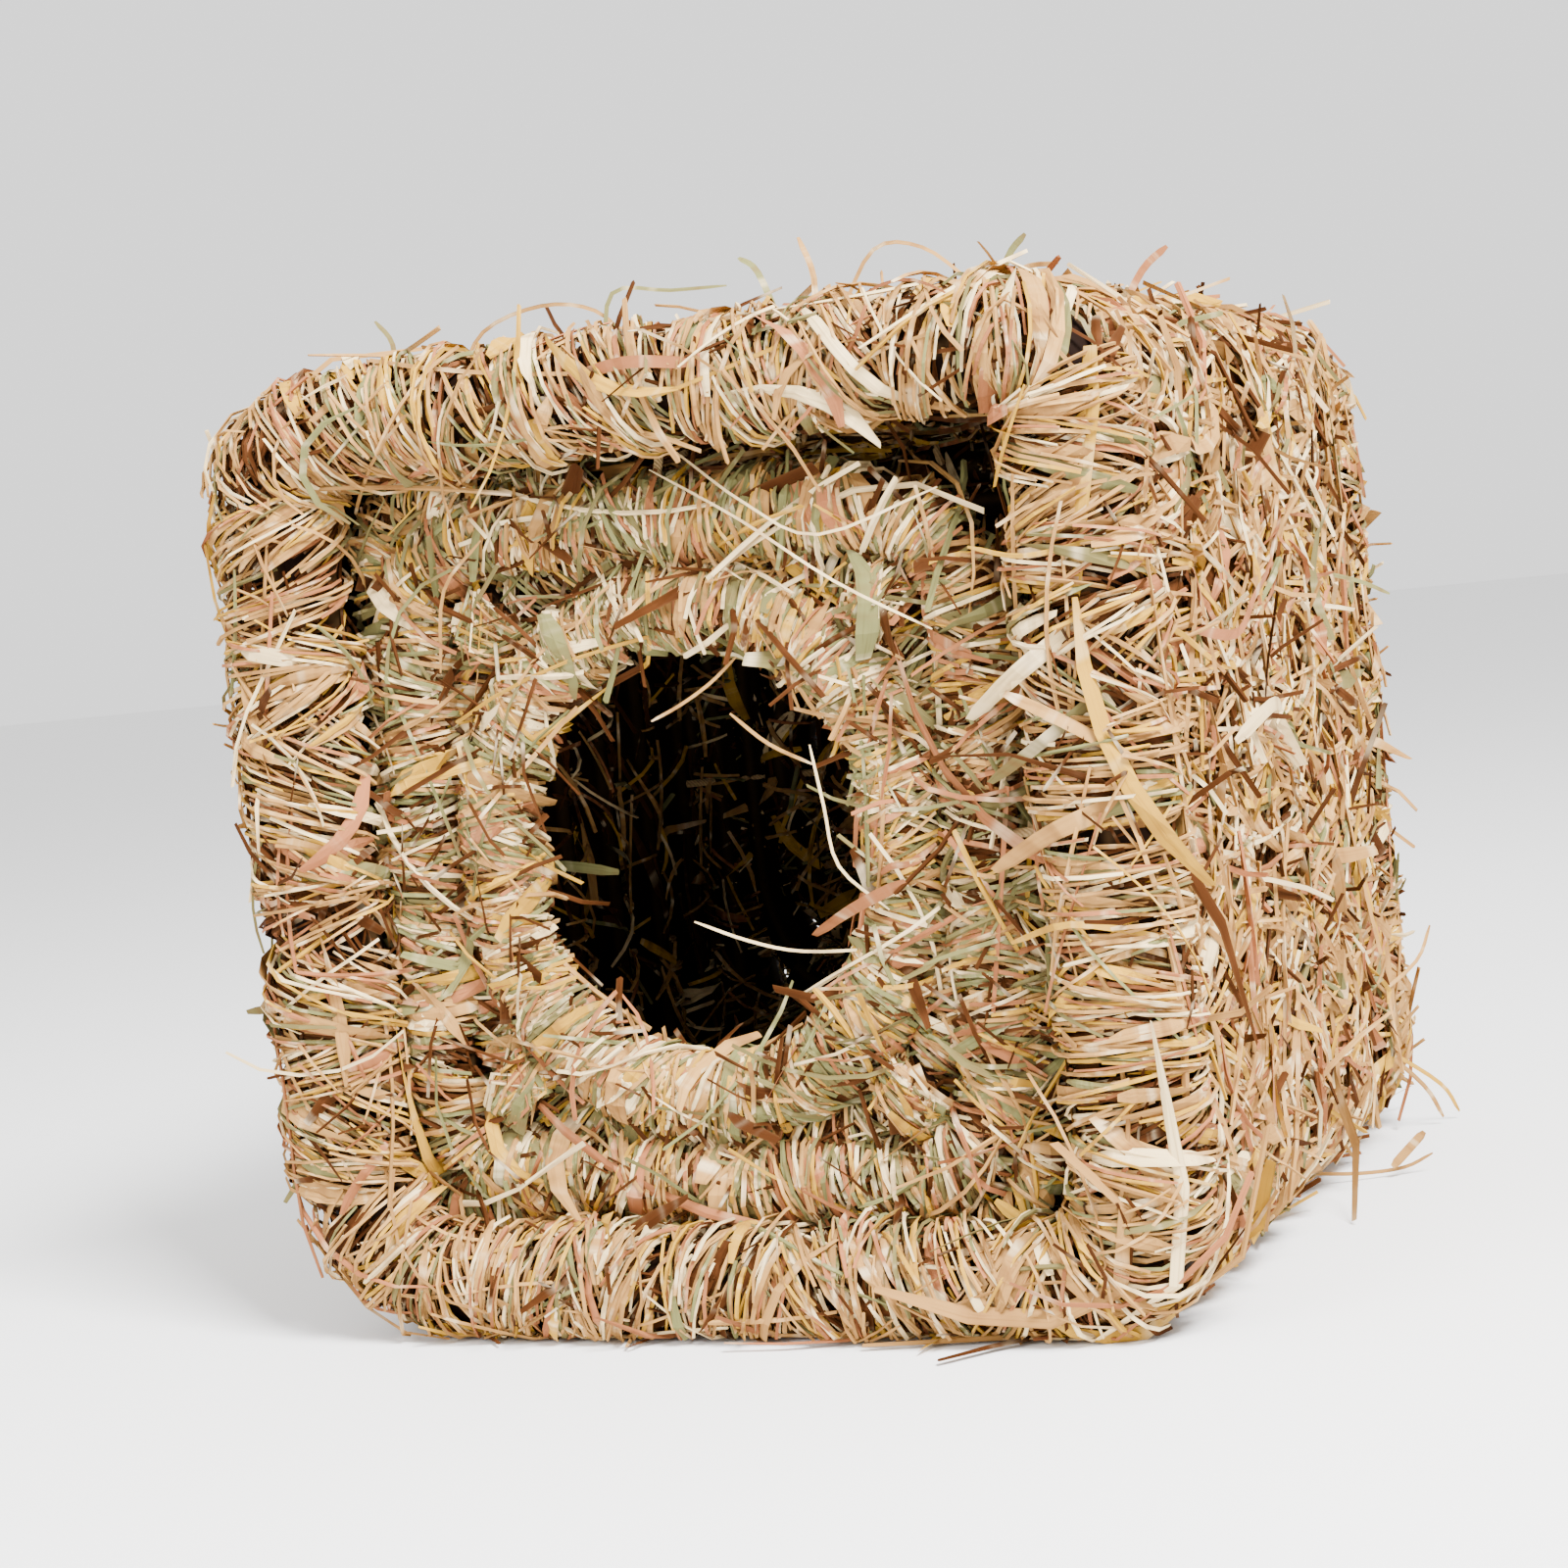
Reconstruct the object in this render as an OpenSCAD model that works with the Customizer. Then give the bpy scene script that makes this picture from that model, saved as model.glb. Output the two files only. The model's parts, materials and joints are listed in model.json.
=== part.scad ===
// A small woven hay nest house.  A square shell of hay-rope hoops is sewn side by side, front to
// back.  A coiled panel with a doorway sits inside the front end, and a closed one in the rear end.
// Frame: +Z up, the doorway faces -Y, X runs left to right, origin under the middle of the base.

/* [House] */
// Width over the outside of the shell
house_w = 212; // [205:1:256]
// Height from the base to the top of the shell
house_h = 218; // [210:1:264]
// Number of hay-rope hoops from front to rear, always odd
course_count = 9; // [7:2:11]
// How much of each hoop is pressed flat underneath
base_flat = 0.8; // [0.4:0.1:1.4]

/* [Hay ropes] */
// Diameter of the rope in the shell
rope_d = 24.4; // [20:0.1:29.4]
// Diameter of the rope in the front and rear panels
panel_rope_d = 18.2; // [16:0.1:22]
// Room between two ropes that lie side by side
rope_gap = 0.3; // [0.2:0.1:0.6]

/* [Shell corners] */
// Outside radius of the upper left corner, seen from the front
upper_left_r = 28; // [26:1:44]
// Outside radius of the upper right corner
upper_right_r = 27; // [26:1:44]
// Outside radius of the lower right corner
lower_right_r = 29; // [26:1:44]
// Outside radius of the lower left corner
lower_left_r = 42; // [26:1:48]

/* [Panels] */
// Outside corner radius of the square ring of each panel
panel_corner_r = 34; // [26:1:40]
// How far the front panel is turned clockwise in its opening, in degrees
panel_turn = 2.5; // [0:0.5:3.5]
// Slot left open over the front panel
top_gap = 7.5; // [2:0.5:14]
// Room between a panel and the shell where they nearly touch
panel_gap = 0.6; // [0.4:0.1:2]
// Diameter of the straight bundle packed between the front panel and the right wall
jamb_bundle_d = 12.6; // [8:0.2:15]
// Length of the dome-ended plugs in the corners of the panels
plug_len = 20; // [14:1:26]

/* [Wire and twine] */
// Diameter of the stiffening wire inside the ropes
wire_d = 2; // [1.5:0.1:3]
// Diameter of the sewing twine
twine_d = 2; // [1.4:0.1:2.4]
// Radius of the middle line of each stitch
stitch_r = 6; // [5:0.1:6.4]
// Room round a wire or a stitch in its channel
channel_gap = 0.12; // [0.08:0.02:0.2]
// Distance of the seam stitches from the middle of each side of the shell
stitch_offset = 42; // [30:1:50]

/* [Hidden] */
$fn = 48;
COURSES = [for (i = [2 : course_count - 1]) str("shell_course_", i)];
CORNERS = ["upper_left", "upper_right", "lower_right", "lower_left"];
FRONT_PLUGS = [for (c = CORNERS) str("front_plug_", c)];
REAR_PLUGS = [for (c = CORNERS) str("rear_plug_", c)];
REAR_COILS = [for (i = [1 : 3]) str("rear_coil_", i)];

rope_r = rope_d / 2;
panel_rope_r = panel_rope_d / 2;
jamb_r = jamb_bundle_d / 2;
wire_r = wire_d / 2;
least_bar = 0.01;
twine_r = twine_d / 2;
pitch = rope_d + rope_gap;
panel_pitch = panel_rope_d + rope_gap;
middle_course = (course_count - 1) / 2;
hay = [0.80, 0.68, 0.47];
hay_dark = [0.66, 0.56, 0.38];
steel = [0.62, 0.63, 0.64];
twine = [0.72, 0.58, 0.36];

// Middle line of the shell's rope: half its width, its lowest and highest points and its middle
shell_x = house_w / 2 - rope_r;
shell_low = rope_r - base_flat;
shell_top = house_h - rope_r;
shell_z = (shell_low + shell_top) / 2;
shell_radii = [for (r = [upper_left_r, upper_right_r, lower_right_r, lower_left_r]) r - rope_r];

// Each panel lies in the groove between the two end hoops: how far in its middle line must stay
front_seam_y = -(middle_course - 0.5) * pitch;
rear_seam_y = -front_seam_y;
function nest(r) = sqrt(pow(rope_r + r + rope_gap, 2) - pow(pitch / 2, 2));
function reach(r) = shell_x - nest(r) + r;
panel_low = shell_low + nest(panel_rope_r) - panel_rope_r + panel_gap;
panel_top = shell_top - nest(panel_rope_r) + panel_rope_r - panel_gap;

// The front panel leaves the top gap and the jamb bundle's room, and is turned inside what is left
front_left = -reach(panel_rope_r) + panel_gap;
front_right = reach(jamb_r) - panel_gap - jamb_bundle_d - rope_gap;
front_x = (front_left + front_right) / 2;
front_z = (panel_low + panel_top - top_gap) / 2;
jamb_x = reach(jamb_r) - panel_gap - jamb_r;
front_half = hundredths(turned_half(
    (front_right - front_left) / 2, (panel_top - top_gap - panel_low) / 2, panel_turn));
rear_z = (panel_low + panel_top) / 2;
rear_half = hundredths([reach(panel_rope_r) - panel_gap, (panel_top - panel_low) / 2]);

// Sizes are kept to a hundredth of a millimetre, so that neighbouring lengths of a ring meet exactly
function hundredths(sizes) = [for (v = sizes) floor(v * 100) / 100];

// Half sizes of a rounded rectangle that just fits half extents x and z when it is turned
function turned_half(x, z, turn) =
    let (c = cos(turn), s = sin(turn), u = x - panel_corner_r, v = z - panel_corner_r)
    [(u * c - v * s) / (c * c - s * s) + panel_corner_r,
     (v * c - u * s) / (c * c - s * s) + panel_corner_r];

// Half sizes and corner radii, at the middle line, of the ring that is n ropes in from the outside
function ring_half(half, n) = [for (h = half) h - panel_rope_r - n * panel_pitch];
function ring_radii(half, n) =
    let (h = ring_half(half, n))
    [for (i = [1 : 4]) n == 0 ? panel_corner_r - panel_rope_r : min(h[0], h[1])];

// Where the plug of corner i sits between the first two rings: [x, z, radius]
function corner_sign(i) = [i == 1 || i == 2 ? 1 : -1, i < 2 ? 1 : -1];
function plug(half, i) =
    let (
        outer = ring_half(half, 0),
        inner = ring_half(half, 1),
        bend = ring_radii(half, 0)[0],
        inner_bend = min(inner[0], inner[1]),
        from = [inner[0] - inner_bend, inner[1] - inner_bend],
        to = [outer[0] - bend, outer[1] - bend],
        along = to - from,
        start = inner_bend + panel_rope_r + rope_gap,
        end = norm(along) + bend - panel_rope_r - rope_gap,
        at = from + along / norm(along) * (start + end) / 2,
        sgn = corner_sign(i)
    )
    [sgn[0] * at[0], sgn[1] * at[1], (end - start) / 2];

// ---- shapes ----

// A round bar along +X from the origin
module bar(len, r) {
    if (len > least_bar) rotate([0, 90, 0]) cylinder(r = r, h = len);
}

// A quarter of a torus in the X-Z plane, from the +X side round to the +Z side
module bend(bend_r, r) {
    rotate([90, 0, 0]) rotate_extrude(angle = 90) translate([bend_r, 0]) circle(r = r);
}

// A rounded rectangle of round bar in the X-Z plane: half sizes and corner radii at its middle line,
// with the corners in the order upper left, upper right, lower right, lower left
module hoop(half, radii, r) {
    top = half[0] * 2 - radii[0] - radii[1];
    right = half[1] * 2 - radii[1] - radii[2];
    low = half[0] * 2 - radii[2] - radii[3];
    left = half[1] * 2 - radii[3] - radii[0];
    translate([-half[0] + radii[0], 0, half[1]]) bar(top, r);
    translate([half[0] - radii[1], 0, half[1] - radii[1]]) bend(radii[1], r);
    translate([half[0], 0, half[1] - radii[1]]) rotate([0, 90, 0]) bar(right, r);
    translate([half[0] - radii[2], 0, -half[1] + radii[2]]) rotate([0, 90, 0]) bend(radii[2], r);
    translate([-half[0] + radii[3], 0, -half[1]]) bar(low, r);
    translate([-half[0] + radii[3], 0, -half[1] + radii[3]]) rotate([0, 180, 0]) bend(radii[3], r);
    translate([-half[0], 0, -half[1] + radii[3]]) rotate([0, -90, 0]) bar(left, r);
    translate([-half[0] + radii[0], 0, half[1] - radii[0]]) rotate([0, -90, 0]) bend(radii[0], r);
}

// A sewn stitch: a closed loop of twine round the origin in the X-Y plane, stretched by gap along X
module stitch_loop(gap, grow) {
    r = twine_r + grow;
    if (gap <= least_bar) {
        rotate_extrude() translate([stitch_r, 0]) circle(r = r);
    } else {
        for (side = [0, 180]) {
            rotate([0, 0, side]) {
                translate([gap / 2, 0, 0]) rotate([0, 0, -90])
                    rotate_extrude(angle = 180) translate([stitch_r, 0]) circle(r = r);
                translate([-gap / 2, stitch_r, 0]) bar(gap, r);
            }
        }
    }
}

// A stitch that ties the ropes at points a and b: [across, depth], of radii ra and rb, in an upright
// plane that holds the Y axis and the direction at angle turn in the X-Z plane
module tie(a, b, ra, rb, turn, grow) {
    step = b - a;
    gap = hundredths([norm(step) - ra - rb])[0];
    mid = a + step / norm(step) * (ra + gap / 2);
    rotate([0, -turn, 0]) translate([mid[0], mid[1], 0])
        rotate([0, 0, atan2(step[1], step[0])]) stitch_loop(gap, grow);
}

// Everything below the surface the house stands on
module below_base() {
    translate([-house_w, -house_w * 2, -house_h]) cube([house_w * 2, house_w * 4, house_h]);
}

// ---- the shell ----

// The middle line of a shell hoop, swept with radius r, at the depth of the course
module shell_hoop(course, r) {
    translate([0, (course - middle_course) * pitch, shell_z])
        hoop([shell_x, (shell_top - shell_low) / 2], shell_radii, r);
}

// The stitches of one seam, behind hoop number course: two on each side of the shell
module seam(course, grow) {
    y = (course - middle_course + 0.5) * pitch;
    half_z = (shell_top - shell_low) / 2;
    for (side = [-1, 1], spot = [-1, 1]) {
        translate([spot * stitch_offset, y, shell_z + side * half_z])
            rotate([0, 90, 0]) rotate([0, 0, 90]) stitch_loop(0, grow);
        translate([side * shell_x, y, shell_z + spot * stitch_offset])
            rotate([0, 0, 90]) stitch_loop(0, grow);
    }
}

// The ties of the front panel: to the hoop behind it at the top, the foot and the left, and on the
// right through the jamb bundle
module front_tie_set(grow) {
    half = [for (h = ring_half(front_half, 0)) h / cos(panel_turn)];
    jamb = [jamb_x - front_x, 0];
    depth = pitch / 2;
    translate([front_x, front_seam_y, front_z]) {
        tie([half[1], 0], [shell_top - front_z, depth], panel_rope_r, rope_r, 90, grow);
        tie([half[0], 0], [shell_x + front_x, depth], panel_rope_r, rope_r, 180, grow);
        tie([half[1], 0], [front_z - shell_low, depth], panel_rope_r, rope_r, 270, grow);
        tie([half[0], 0], jamb, panel_rope_r, jamb_r, 0, grow);
        for (spot = [-1, 1]) {
            translate([0, 0, spot * stitch_offset / 2])
                tie(jamb, [shell_x - front_x, depth], jamb_r, rope_r, 0, grow);
        }
    }
}

// The ties of the rear panel, one on each side, to the hoop in front of it
module rear_tie_set(grow) {
    half = ring_half(rear_half, 0);
    rise = [shell_x, shell_top - rear_z, shell_x, rear_z - shell_low];
    translate([0, rear_seam_y, rear_z]) {
        for (i = [0 : 3]) {
            tie([half[i % 2], 0], [rise[i], -pitch / 2], panel_rope_r, rope_r, i * 90, grow);
        }
    }
}

// One hoop of the shell, pressed flat underneath, with a channel for each stitch and tie
module course(i, wired = false) {
    difference() {
        shell_hoop(i, rope_r);
        below_base();
        if (wired) shell_hoop(i, wire_r + channel_gap);
        if (i > 0) seam(i - 1, channel_gap);
        if (i < course_count - 1) seam(i, channel_gap);
        if (i == 1) front_tie_set(channel_gap);
        if (i == course_count - 2) rear_tie_set(channel_gap);
    }
}

// ---- the panels ----

// Puts its children in the front panel's own turned frame, or in the rear panel's
module in_front() {
    translate([front_x, front_seam_y, front_z]) rotate([0, panel_turn, 0]) children();
}
module in_rear() {
    translate([0, rear_seam_y, rear_z]) children();
}

// Ring n of a panel, counted from the outside, swept with radius r
module panel_ring(half, n, r) {
    hoop(ring_half(half, n), ring_radii(half, n), r);
}

// Stitches between ring n and the next ring inwards, one on each side of the panel
module ring_stitches(half, n, grow) {
    outer = ring_half(half, n);
    inner = ring_half(half, n + 1);
    for (i = [0 : 3]) {
        axis = i % 2;
        tie([inner[axis], 0], [outer[axis], 0], panel_rope_r, panel_rope_r, i * 90, grow);
    }
}

// A short dome-ended bundle of radius r, lying front to rear
module plug_body(r) {
    dome_r = norm([plug_len / 2, r * 0.6]);
    rotate([90, 0, 0]) intersection() {
        cylinder(r = r, h = plug_len, center = true);
        sphere(r = dome_r);
    }
}

module corner_plug(half, i) {
    p = plug(half, i);
    translate([p[0], 0, p[1]]) plug_body(p[2]);
}

module front_plug(i) {
    in_front() corner_plug(front_half, i);
}

module rear_plug(i) {
    in_rear() corner_plug(rear_half, i);
}

module front_panel_ring() {
    color(hay) difference() {
        in_front() difference() {
            panel_ring(front_half, 0, panel_rope_r);
            ring_stitches(front_half, 0, channel_gap);
        }
        front_tie_set(channel_gap);
    }
}

module doorway_ring() {
    color(hay) in_front() difference() {
        panel_ring(front_half, 1, panel_rope_r);
        panel_ring(front_half, 1, wire_r + channel_gap);
        ring_stitches(front_half, 0, channel_gap);
    }
}

// The straight bundle stands between the front panel and the right wall
module jamb_bundle() {
    length = (front_half[1] - panel_corner_r) * 2;
    color(hay_dark) difference() {
        translate([jamb_x, front_seam_y, front_z])
            cylinder(r = jamb_r, h = length, center = true);
        front_tie_set(channel_gap);
    }
}

module rear_panel_ring() {
    color(hay) difference() {
        in_rear() difference() {
            panel_ring(rear_half, 0, panel_rope_r);
            panel_ring(rear_half, 0, wire_r + channel_gap);
            ring_stitches(rear_half, 0, channel_gap);
        }
        rear_tie_set(channel_gap);
    }
}

// Coil n of the rear panel, counted inwards from its square ring
module rear_coil(n) {
    last = len(REAR_COILS);
    color(hay_dark) in_rear() difference() {
        panel_ring(rear_half, n, panel_rope_r);
        ring_stitches(rear_half, n - 1, channel_gap);
        if (n < last) ring_stitches(rear_half, n, channel_gap);
    }
}

module rear_centre_plug() {
    inner = ring_half(rear_half, len(REAR_COILS));
    r = min(inner[0], inner[1]) - panel_rope_r - rope_gap;
    color(hay_dark) in_rear() plug_body(r);
}

// ---- wire and twine ----

module front_rim_wire() {
    color(steel) shell_hoop(0, wire_r);
}

module middle_wire() {
    color(steel) shell_hoop(middle_course, wire_r);
}

module rear_rim_wire() {
    color(steel) shell_hoop(course_count - 1, wire_r);
}

module doorway_wire() {
    color(steel) in_front() panel_ring(front_half, 1, wire_r);
}

module rear_panel_wire() {
    color(steel) in_rear() panel_ring(rear_half, 0, wire_r);
}

module seam_stitches() {
    color(twine) for (i = [0 : course_count - 2]) seam(i, 0);
}

module front_panel_stitches() {
    color(twine) in_front() ring_stitches(front_half, 0, 0);
}

module rear_panel_stitches() {
    color(twine) in_rear() {
        for (n = [0 : len(REAR_COILS) - 1]) ring_stitches(rear_half, n, 0);
    }
}

module front_ties() {
    color(twine) front_tie_set(0);
}

module rear_ties() {
    color(twine) rear_tie_set(0);
}

module front_rim_roll() {
    color(hay) course(0, wired = true);
}

module rear_rim_roll() {
    color(hay) course(course_count - 1, wired = true);
}

front_rim_roll();
for (i = [0 : len(COURSES) - 1]) {
    color(hay) course(i + 1, wired = i + 1 == middle_course);
}
rear_rim_roll();
front_panel_ring();
doorway_ring();
jamb_bundle();
for (i = [0 : 3]) {
    color(hay_dark) front_plug(i);
    color(hay_dark) rear_plug(i);
}
rear_panel_ring();
for (i = [0 : len(REAR_COILS) - 1]) {
    rear_coil(i + 1);
}
rear_centre_plug();
front_rim_wire();
middle_wire();
rear_rim_wire();
doorway_wire();
rear_panel_wire();
seam_stitches();
front_panel_stitches();
rear_panel_stitches();
front_ties();
rear_ties();
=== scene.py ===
# %% [markdown]
# # A woven hay nest house
#
# The house is a nearly cubic nest for a small animal.  Thick hay ropes are bent into rounded
# squares and sewn side by side, so they make the floor, walls and roof in one.  A coiled panel
# with a doorway closes the front, and one without a doorway closes the rear.
#
# A designer has settled the ropes as plain round bars, in a frame that is loaded first.  This
# lesson dresses them: every rope gets thousands of stems of dry hay, wound round it in bunches.
# The frame is never moved, and everything here is measured from it.

# %% Load the frame
import json
import math
import random

import bmesh
import bpy
from mathutils import Matrix, Vector


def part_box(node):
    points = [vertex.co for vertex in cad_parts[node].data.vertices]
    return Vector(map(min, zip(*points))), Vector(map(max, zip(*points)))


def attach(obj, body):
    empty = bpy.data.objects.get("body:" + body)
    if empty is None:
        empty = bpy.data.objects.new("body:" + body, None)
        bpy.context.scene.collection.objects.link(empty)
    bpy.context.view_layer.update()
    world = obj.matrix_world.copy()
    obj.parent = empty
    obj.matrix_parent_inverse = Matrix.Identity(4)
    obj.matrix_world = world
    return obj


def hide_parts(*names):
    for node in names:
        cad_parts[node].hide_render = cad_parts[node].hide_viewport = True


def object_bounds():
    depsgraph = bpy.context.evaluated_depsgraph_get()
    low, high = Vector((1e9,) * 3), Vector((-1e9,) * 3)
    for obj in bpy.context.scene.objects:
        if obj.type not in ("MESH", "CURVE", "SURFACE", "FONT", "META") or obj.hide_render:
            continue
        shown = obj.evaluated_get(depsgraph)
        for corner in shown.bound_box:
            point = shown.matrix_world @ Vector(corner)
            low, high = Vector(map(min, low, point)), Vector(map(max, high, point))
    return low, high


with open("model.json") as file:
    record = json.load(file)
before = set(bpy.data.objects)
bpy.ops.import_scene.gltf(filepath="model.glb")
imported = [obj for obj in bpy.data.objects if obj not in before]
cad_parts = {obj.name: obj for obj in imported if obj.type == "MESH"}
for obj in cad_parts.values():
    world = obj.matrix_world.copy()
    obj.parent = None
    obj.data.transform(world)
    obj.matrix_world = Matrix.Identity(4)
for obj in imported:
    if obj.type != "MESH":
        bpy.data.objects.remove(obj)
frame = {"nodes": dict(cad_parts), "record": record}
CAD_BOX = [list(corner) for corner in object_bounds()]
MM = 0.001
print("nodes in the frame:", len(frame["nodes"]))

# %% [markdown]
# ## Arithmetic on sockets
#
# Both the geometry and the materials below are formulas.  Wiring a formula by hand takes a box for
# every plus sign, and such a tree can't be read back.  So one small class wraps a socket, and
# Python's own operators add the Math boxes.  A single function, `node`, places any other kind of
# box: it takes the type, then the settings, and then the values or links of the inputs.

# %% A socket that can be added and multiplied
class Sock:
    """An output socket of a node tree, with arithmetic."""

    def __init__(self, tree, socket):
        self.tree, self.socket = tree, socket

    def is_vector(self):
        return self.socket.type == "VECTOR"

    def maths(self, operation, *others):
        return node(self.tree, "ShaderNodeMath", {"operation": operation}, [self, *others])

    def vector(self, operation, *others, out=0, **named):
        return node(self.tree, "ShaderNodeVectorMath", {"operation": operation}, [self, *others],
                    out=out, **named)

    def __add__(self, other):
        return self.vector("ADD", other) if self.is_vector() else self.maths("ADD", other)

    def __sub__(self, other):
        return self.vector("SUBTRACT", other) if self.is_vector() else self.maths("SUBTRACT", other)

    def __mul__(self, other):
        if self.is_vector():
            return node(self.tree, "ShaderNodeVectorMath", {"operation": "SCALE"},
                        {"Vector": self, "Scale": other})
        return self.maths("MULTIPLY", other)

    def __truediv__(self, other):
        return self.maths("DIVIDE", other)

    def __rsub__(self, other):
        return node(self.tree, "ShaderNodeMath", {"operation": "SUBTRACT"}, [other, self])

    def __rtruediv__(self, other):
        return node(self.tree, "ShaderNodeMath", {"operation": "DIVIDE"}, [other, self])

    def __neg__(self):
        return self * -1.0

    __radd__ = __add__
    __rmul__ = __mul__

    def less(self, other):
        return self.maths("LESS_THAN", other)

    def floor(self):
        return self.maths("FLOOR")

    def fraction(self):
        return self.maths("FRACT")

    def sine(self):
        return self.maths("SINE")

    def cosine(self):
        return self.maths("COSINE")

    def absolute(self):
        return self.maths("ABSOLUTE")

    def power(self, other):
        return self.maths("POWER", other)

    def cross(self, other):
        return self.vector("CROSS_PRODUCT", other)

    def dot(self, other):
        return self.vector("DOT_PRODUCT", other, out="Value")

    def part(self, axis):
        return node(self.tree, "ShaderNodeSeparateXYZ", {}, [self], out=axis)


def node(tree, kind, settings=None, inputs=(), out=0):
    """Adds one node: its settings first, then its inputs, by order or by name."""
    made = tree.nodes.new(kind)
    for name, value in (settings or {}).items():
        setattr(made, name, value)
    usable = [s for s in made.inputs if s.enabled]
    pairs = inputs.items() if isinstance(inputs, dict) else zip(usable, inputs)
    for key, value in pairs:
        into = next(s for s in usable if s.name == key) if isinstance(key, str) else key
        if isinstance(value, Sock):
            tree.links.new(value.socket, into)
        else:
            into.default_value = value
    outputs = [s for s in made.outputs if s.enabled]
    chosen = next(s for s in outputs if s.name == out) if isinstance(out, str) else outputs[out]
    return Sock(tree, chosen)


print("sockets can be added now")

# %% [markdown]
# ## Hay
#
# A stem of hay is a thin tube, and a blade is a thin strip with a rib.  Both can be one little
# mesh: a bar with three sides and a few joints along it, stretched wide for a blade.  Tens of
# thousands of copies have to stay light, so the bar has fewer than twenty faces.
#
# Modelling each stem by hand is hopeless, and a hair system can't be exported.  A Geometry Nodes
# tree suits it: it makes copies of the bar, then moves every point of every copy by one formula.
# The formula has two halves.  The first half wraps a stem round the rope, as the maker's hand did,
# in bunches that bulge in the middle.  The second half is a straight stem that leaves the rope on
# a tangent.  Each stem is a blend of the two, so some lie tight and some stick out.

# %% Names and sizes of the hay
CORE_SIDES = 12
CORE_STEP = 4 * MM
STRIPS = 32  # colour strips in the hay material, side by side in the map
TONES = {  # first strip and number of strips of each kind of hay
    "straw": (0, 8),
    "yellow": (8, 4),
    "pink": (12, 5),
    "green": (17, 5),
    "cream": (22, 4),
    # painted shade: the brown strips darken the deepest stems, so the gaps between the others look
    # dark
    "brown": (26, 3),
    # painted shade: the core's near black strips
    "core": (29, 2),
}
STRIP_FILL, STRIP_EDGE = 0.7, 0.15  # a stem covers this much of its strip, and starts this far in
DEEPEST, HIGHEST = -3.2 * MM, 1.2 * MM  # depths of the stems, from the rope's surface
STEM_WIDTH, STEM_THICKNESS = (0.32 * MM, 0.72 * MM), (0.3 * MM, 0.5 * MM)  # halves, thin to thick
BLADE_WIDTH, BLADE_THICKNESS = (0.9 * MM, 2.3 * MM), (0.1 * MM, 0.22 * MM)
REACH = 13 * MM  # no stem's middle line goes further than this outside the frame's box
SKIN_REACH = REACH + 2 * MM  # and no stem's skin further than this
LINE_HEIGHT, SKIN_HEIGHT = 1.2 * MM, 0.1 * MM  # how high over the floor those two stay
HAY_MAP = "OFBake"  # the one map that the finish of the hay is read from

HAY_INPUTS = {  # name: (socket kind, default)
    "Rope radius": ("Float", 12 * MM),
    "Stems": ("Int", 1000),
    "Joints": ("Int", 5),
    "Bunch spacing": ("Float", 9 * MM),
    "Bunch width": ("Float", 15 * MM),
    "Facing": ("Float", 0.0),
    "Facing spread": ("Float", 2.0),
    "Tuft": ("Float", 0.0),
    "Wrap": ("Float", 1.1),
    "Slant": ("Float", 0.35),
    "Loose share": ("Float", 0.15),
    "Loft": ("Float", 6 * MM),
    "Bulge": ("Float", 2.5 * MM),
    "Stoutness": ("Float", 1.0),
    "Blade share": ("Float", 0.12),
    # the share of stems that lie deepest and get the brown painted shade
    "Painted shade share": ("Float", 0.42),
    "Green share": ("Float", 0.2),
    "Swell": ("Vector", (0.0, 0.0, 0.0)),
    "Core inset": ("Float", 2.4 * MM),
    "Seed": ("Int", 1),
    "Hay": ("Material", None),
}
print("the hay has", len(TONES), "kinds, on", STRIPS, "strips")

# %% The tree that winds hay round a path
hay_tree = bpy.data.node_groups.new("wound hay", "GeometryNodeTree")
hay_tree.interface.new_socket("Geometry", in_out="OUTPUT", socket_type="NodeSocketGeometry")
hay_tree.interface.new_socket("Path", in_out="INPUT", socket_type="NodeSocketGeometry")
for name, (kind, default) in HAY_INPUTS.items():
    item = hay_tree.interface.new_socket(name, in_out="INPUT", socket_type="NodeSocket" + kind)
    if default is not None:
        item.default_value = default
given = {}
group_input = hay_tree.nodes.new("NodeGroupInput")
for socket in group_input.outputs:
    given[socket.name] = Sock(hay_tree, socket)


def geo(kind, settings=None, inputs=(), out=0):
    return node(hay_tree, kind, settings, inputs, out)


def stored(geometry, name, kind, value, domain="POINT"):
    """Geometry that carries a named value."""
    return geo("GeometryNodeStoreNamedAttribute", {"data_type": kind, "domain": domain},
               {"Geometry": geometry, "Name": name, "Value": value})


def recalled(name, kind):
    return geo("GeometryNodeInputNamedAttribute", {"data_type": kind}, {"Name": name}, "Attribute")


def shade(geometry):
    return geo("GeometryNodeSetShadeSmooth", {}, {"Geometry": geometry})


# one bar, with its place along and across stored on its points, copied once for each stem
template = geo("GeometryNodeMeshCylinder", {"fill_type": "NGON"},
               {"Vertices": 3, "Side Segments": given["Joints"], "Radius": 1.0, "Depth": 2.0},
               "Mesh")
position = geo("GeometryNodeInputPosition")
template = stored(template, "place", "FLOAT_VECTOR", position)
points = geo("GeometryNodePoints", {}, {"Count": given["Stems"]})
points = stored(points, "stem", "INT", geo("GeometryNodeInputIndex"))
copies = geo("GeometryNodeInstanceOnPoints", {}, {"Points": points, "Instance": template})
stems = geo("GeometryNodeRealizeInstances", {}, {"Geometry": copies})
print("inputs of the tree:", ", ".join(given)[:90])

# %% [markdown]
# Every stem gets its own luck from its number, and every bunch from the bunch's number.  The seed
# is an input, so the same rope comes out the same each time, and no two ropes are alike.

# %% Luck for stems and bunches
place = recalled("place", "FLOAT_VECTOR")
stem = recalled("stem", "INT")
along = place.part("Z")
salt = iter(range(1, 100))


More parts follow.
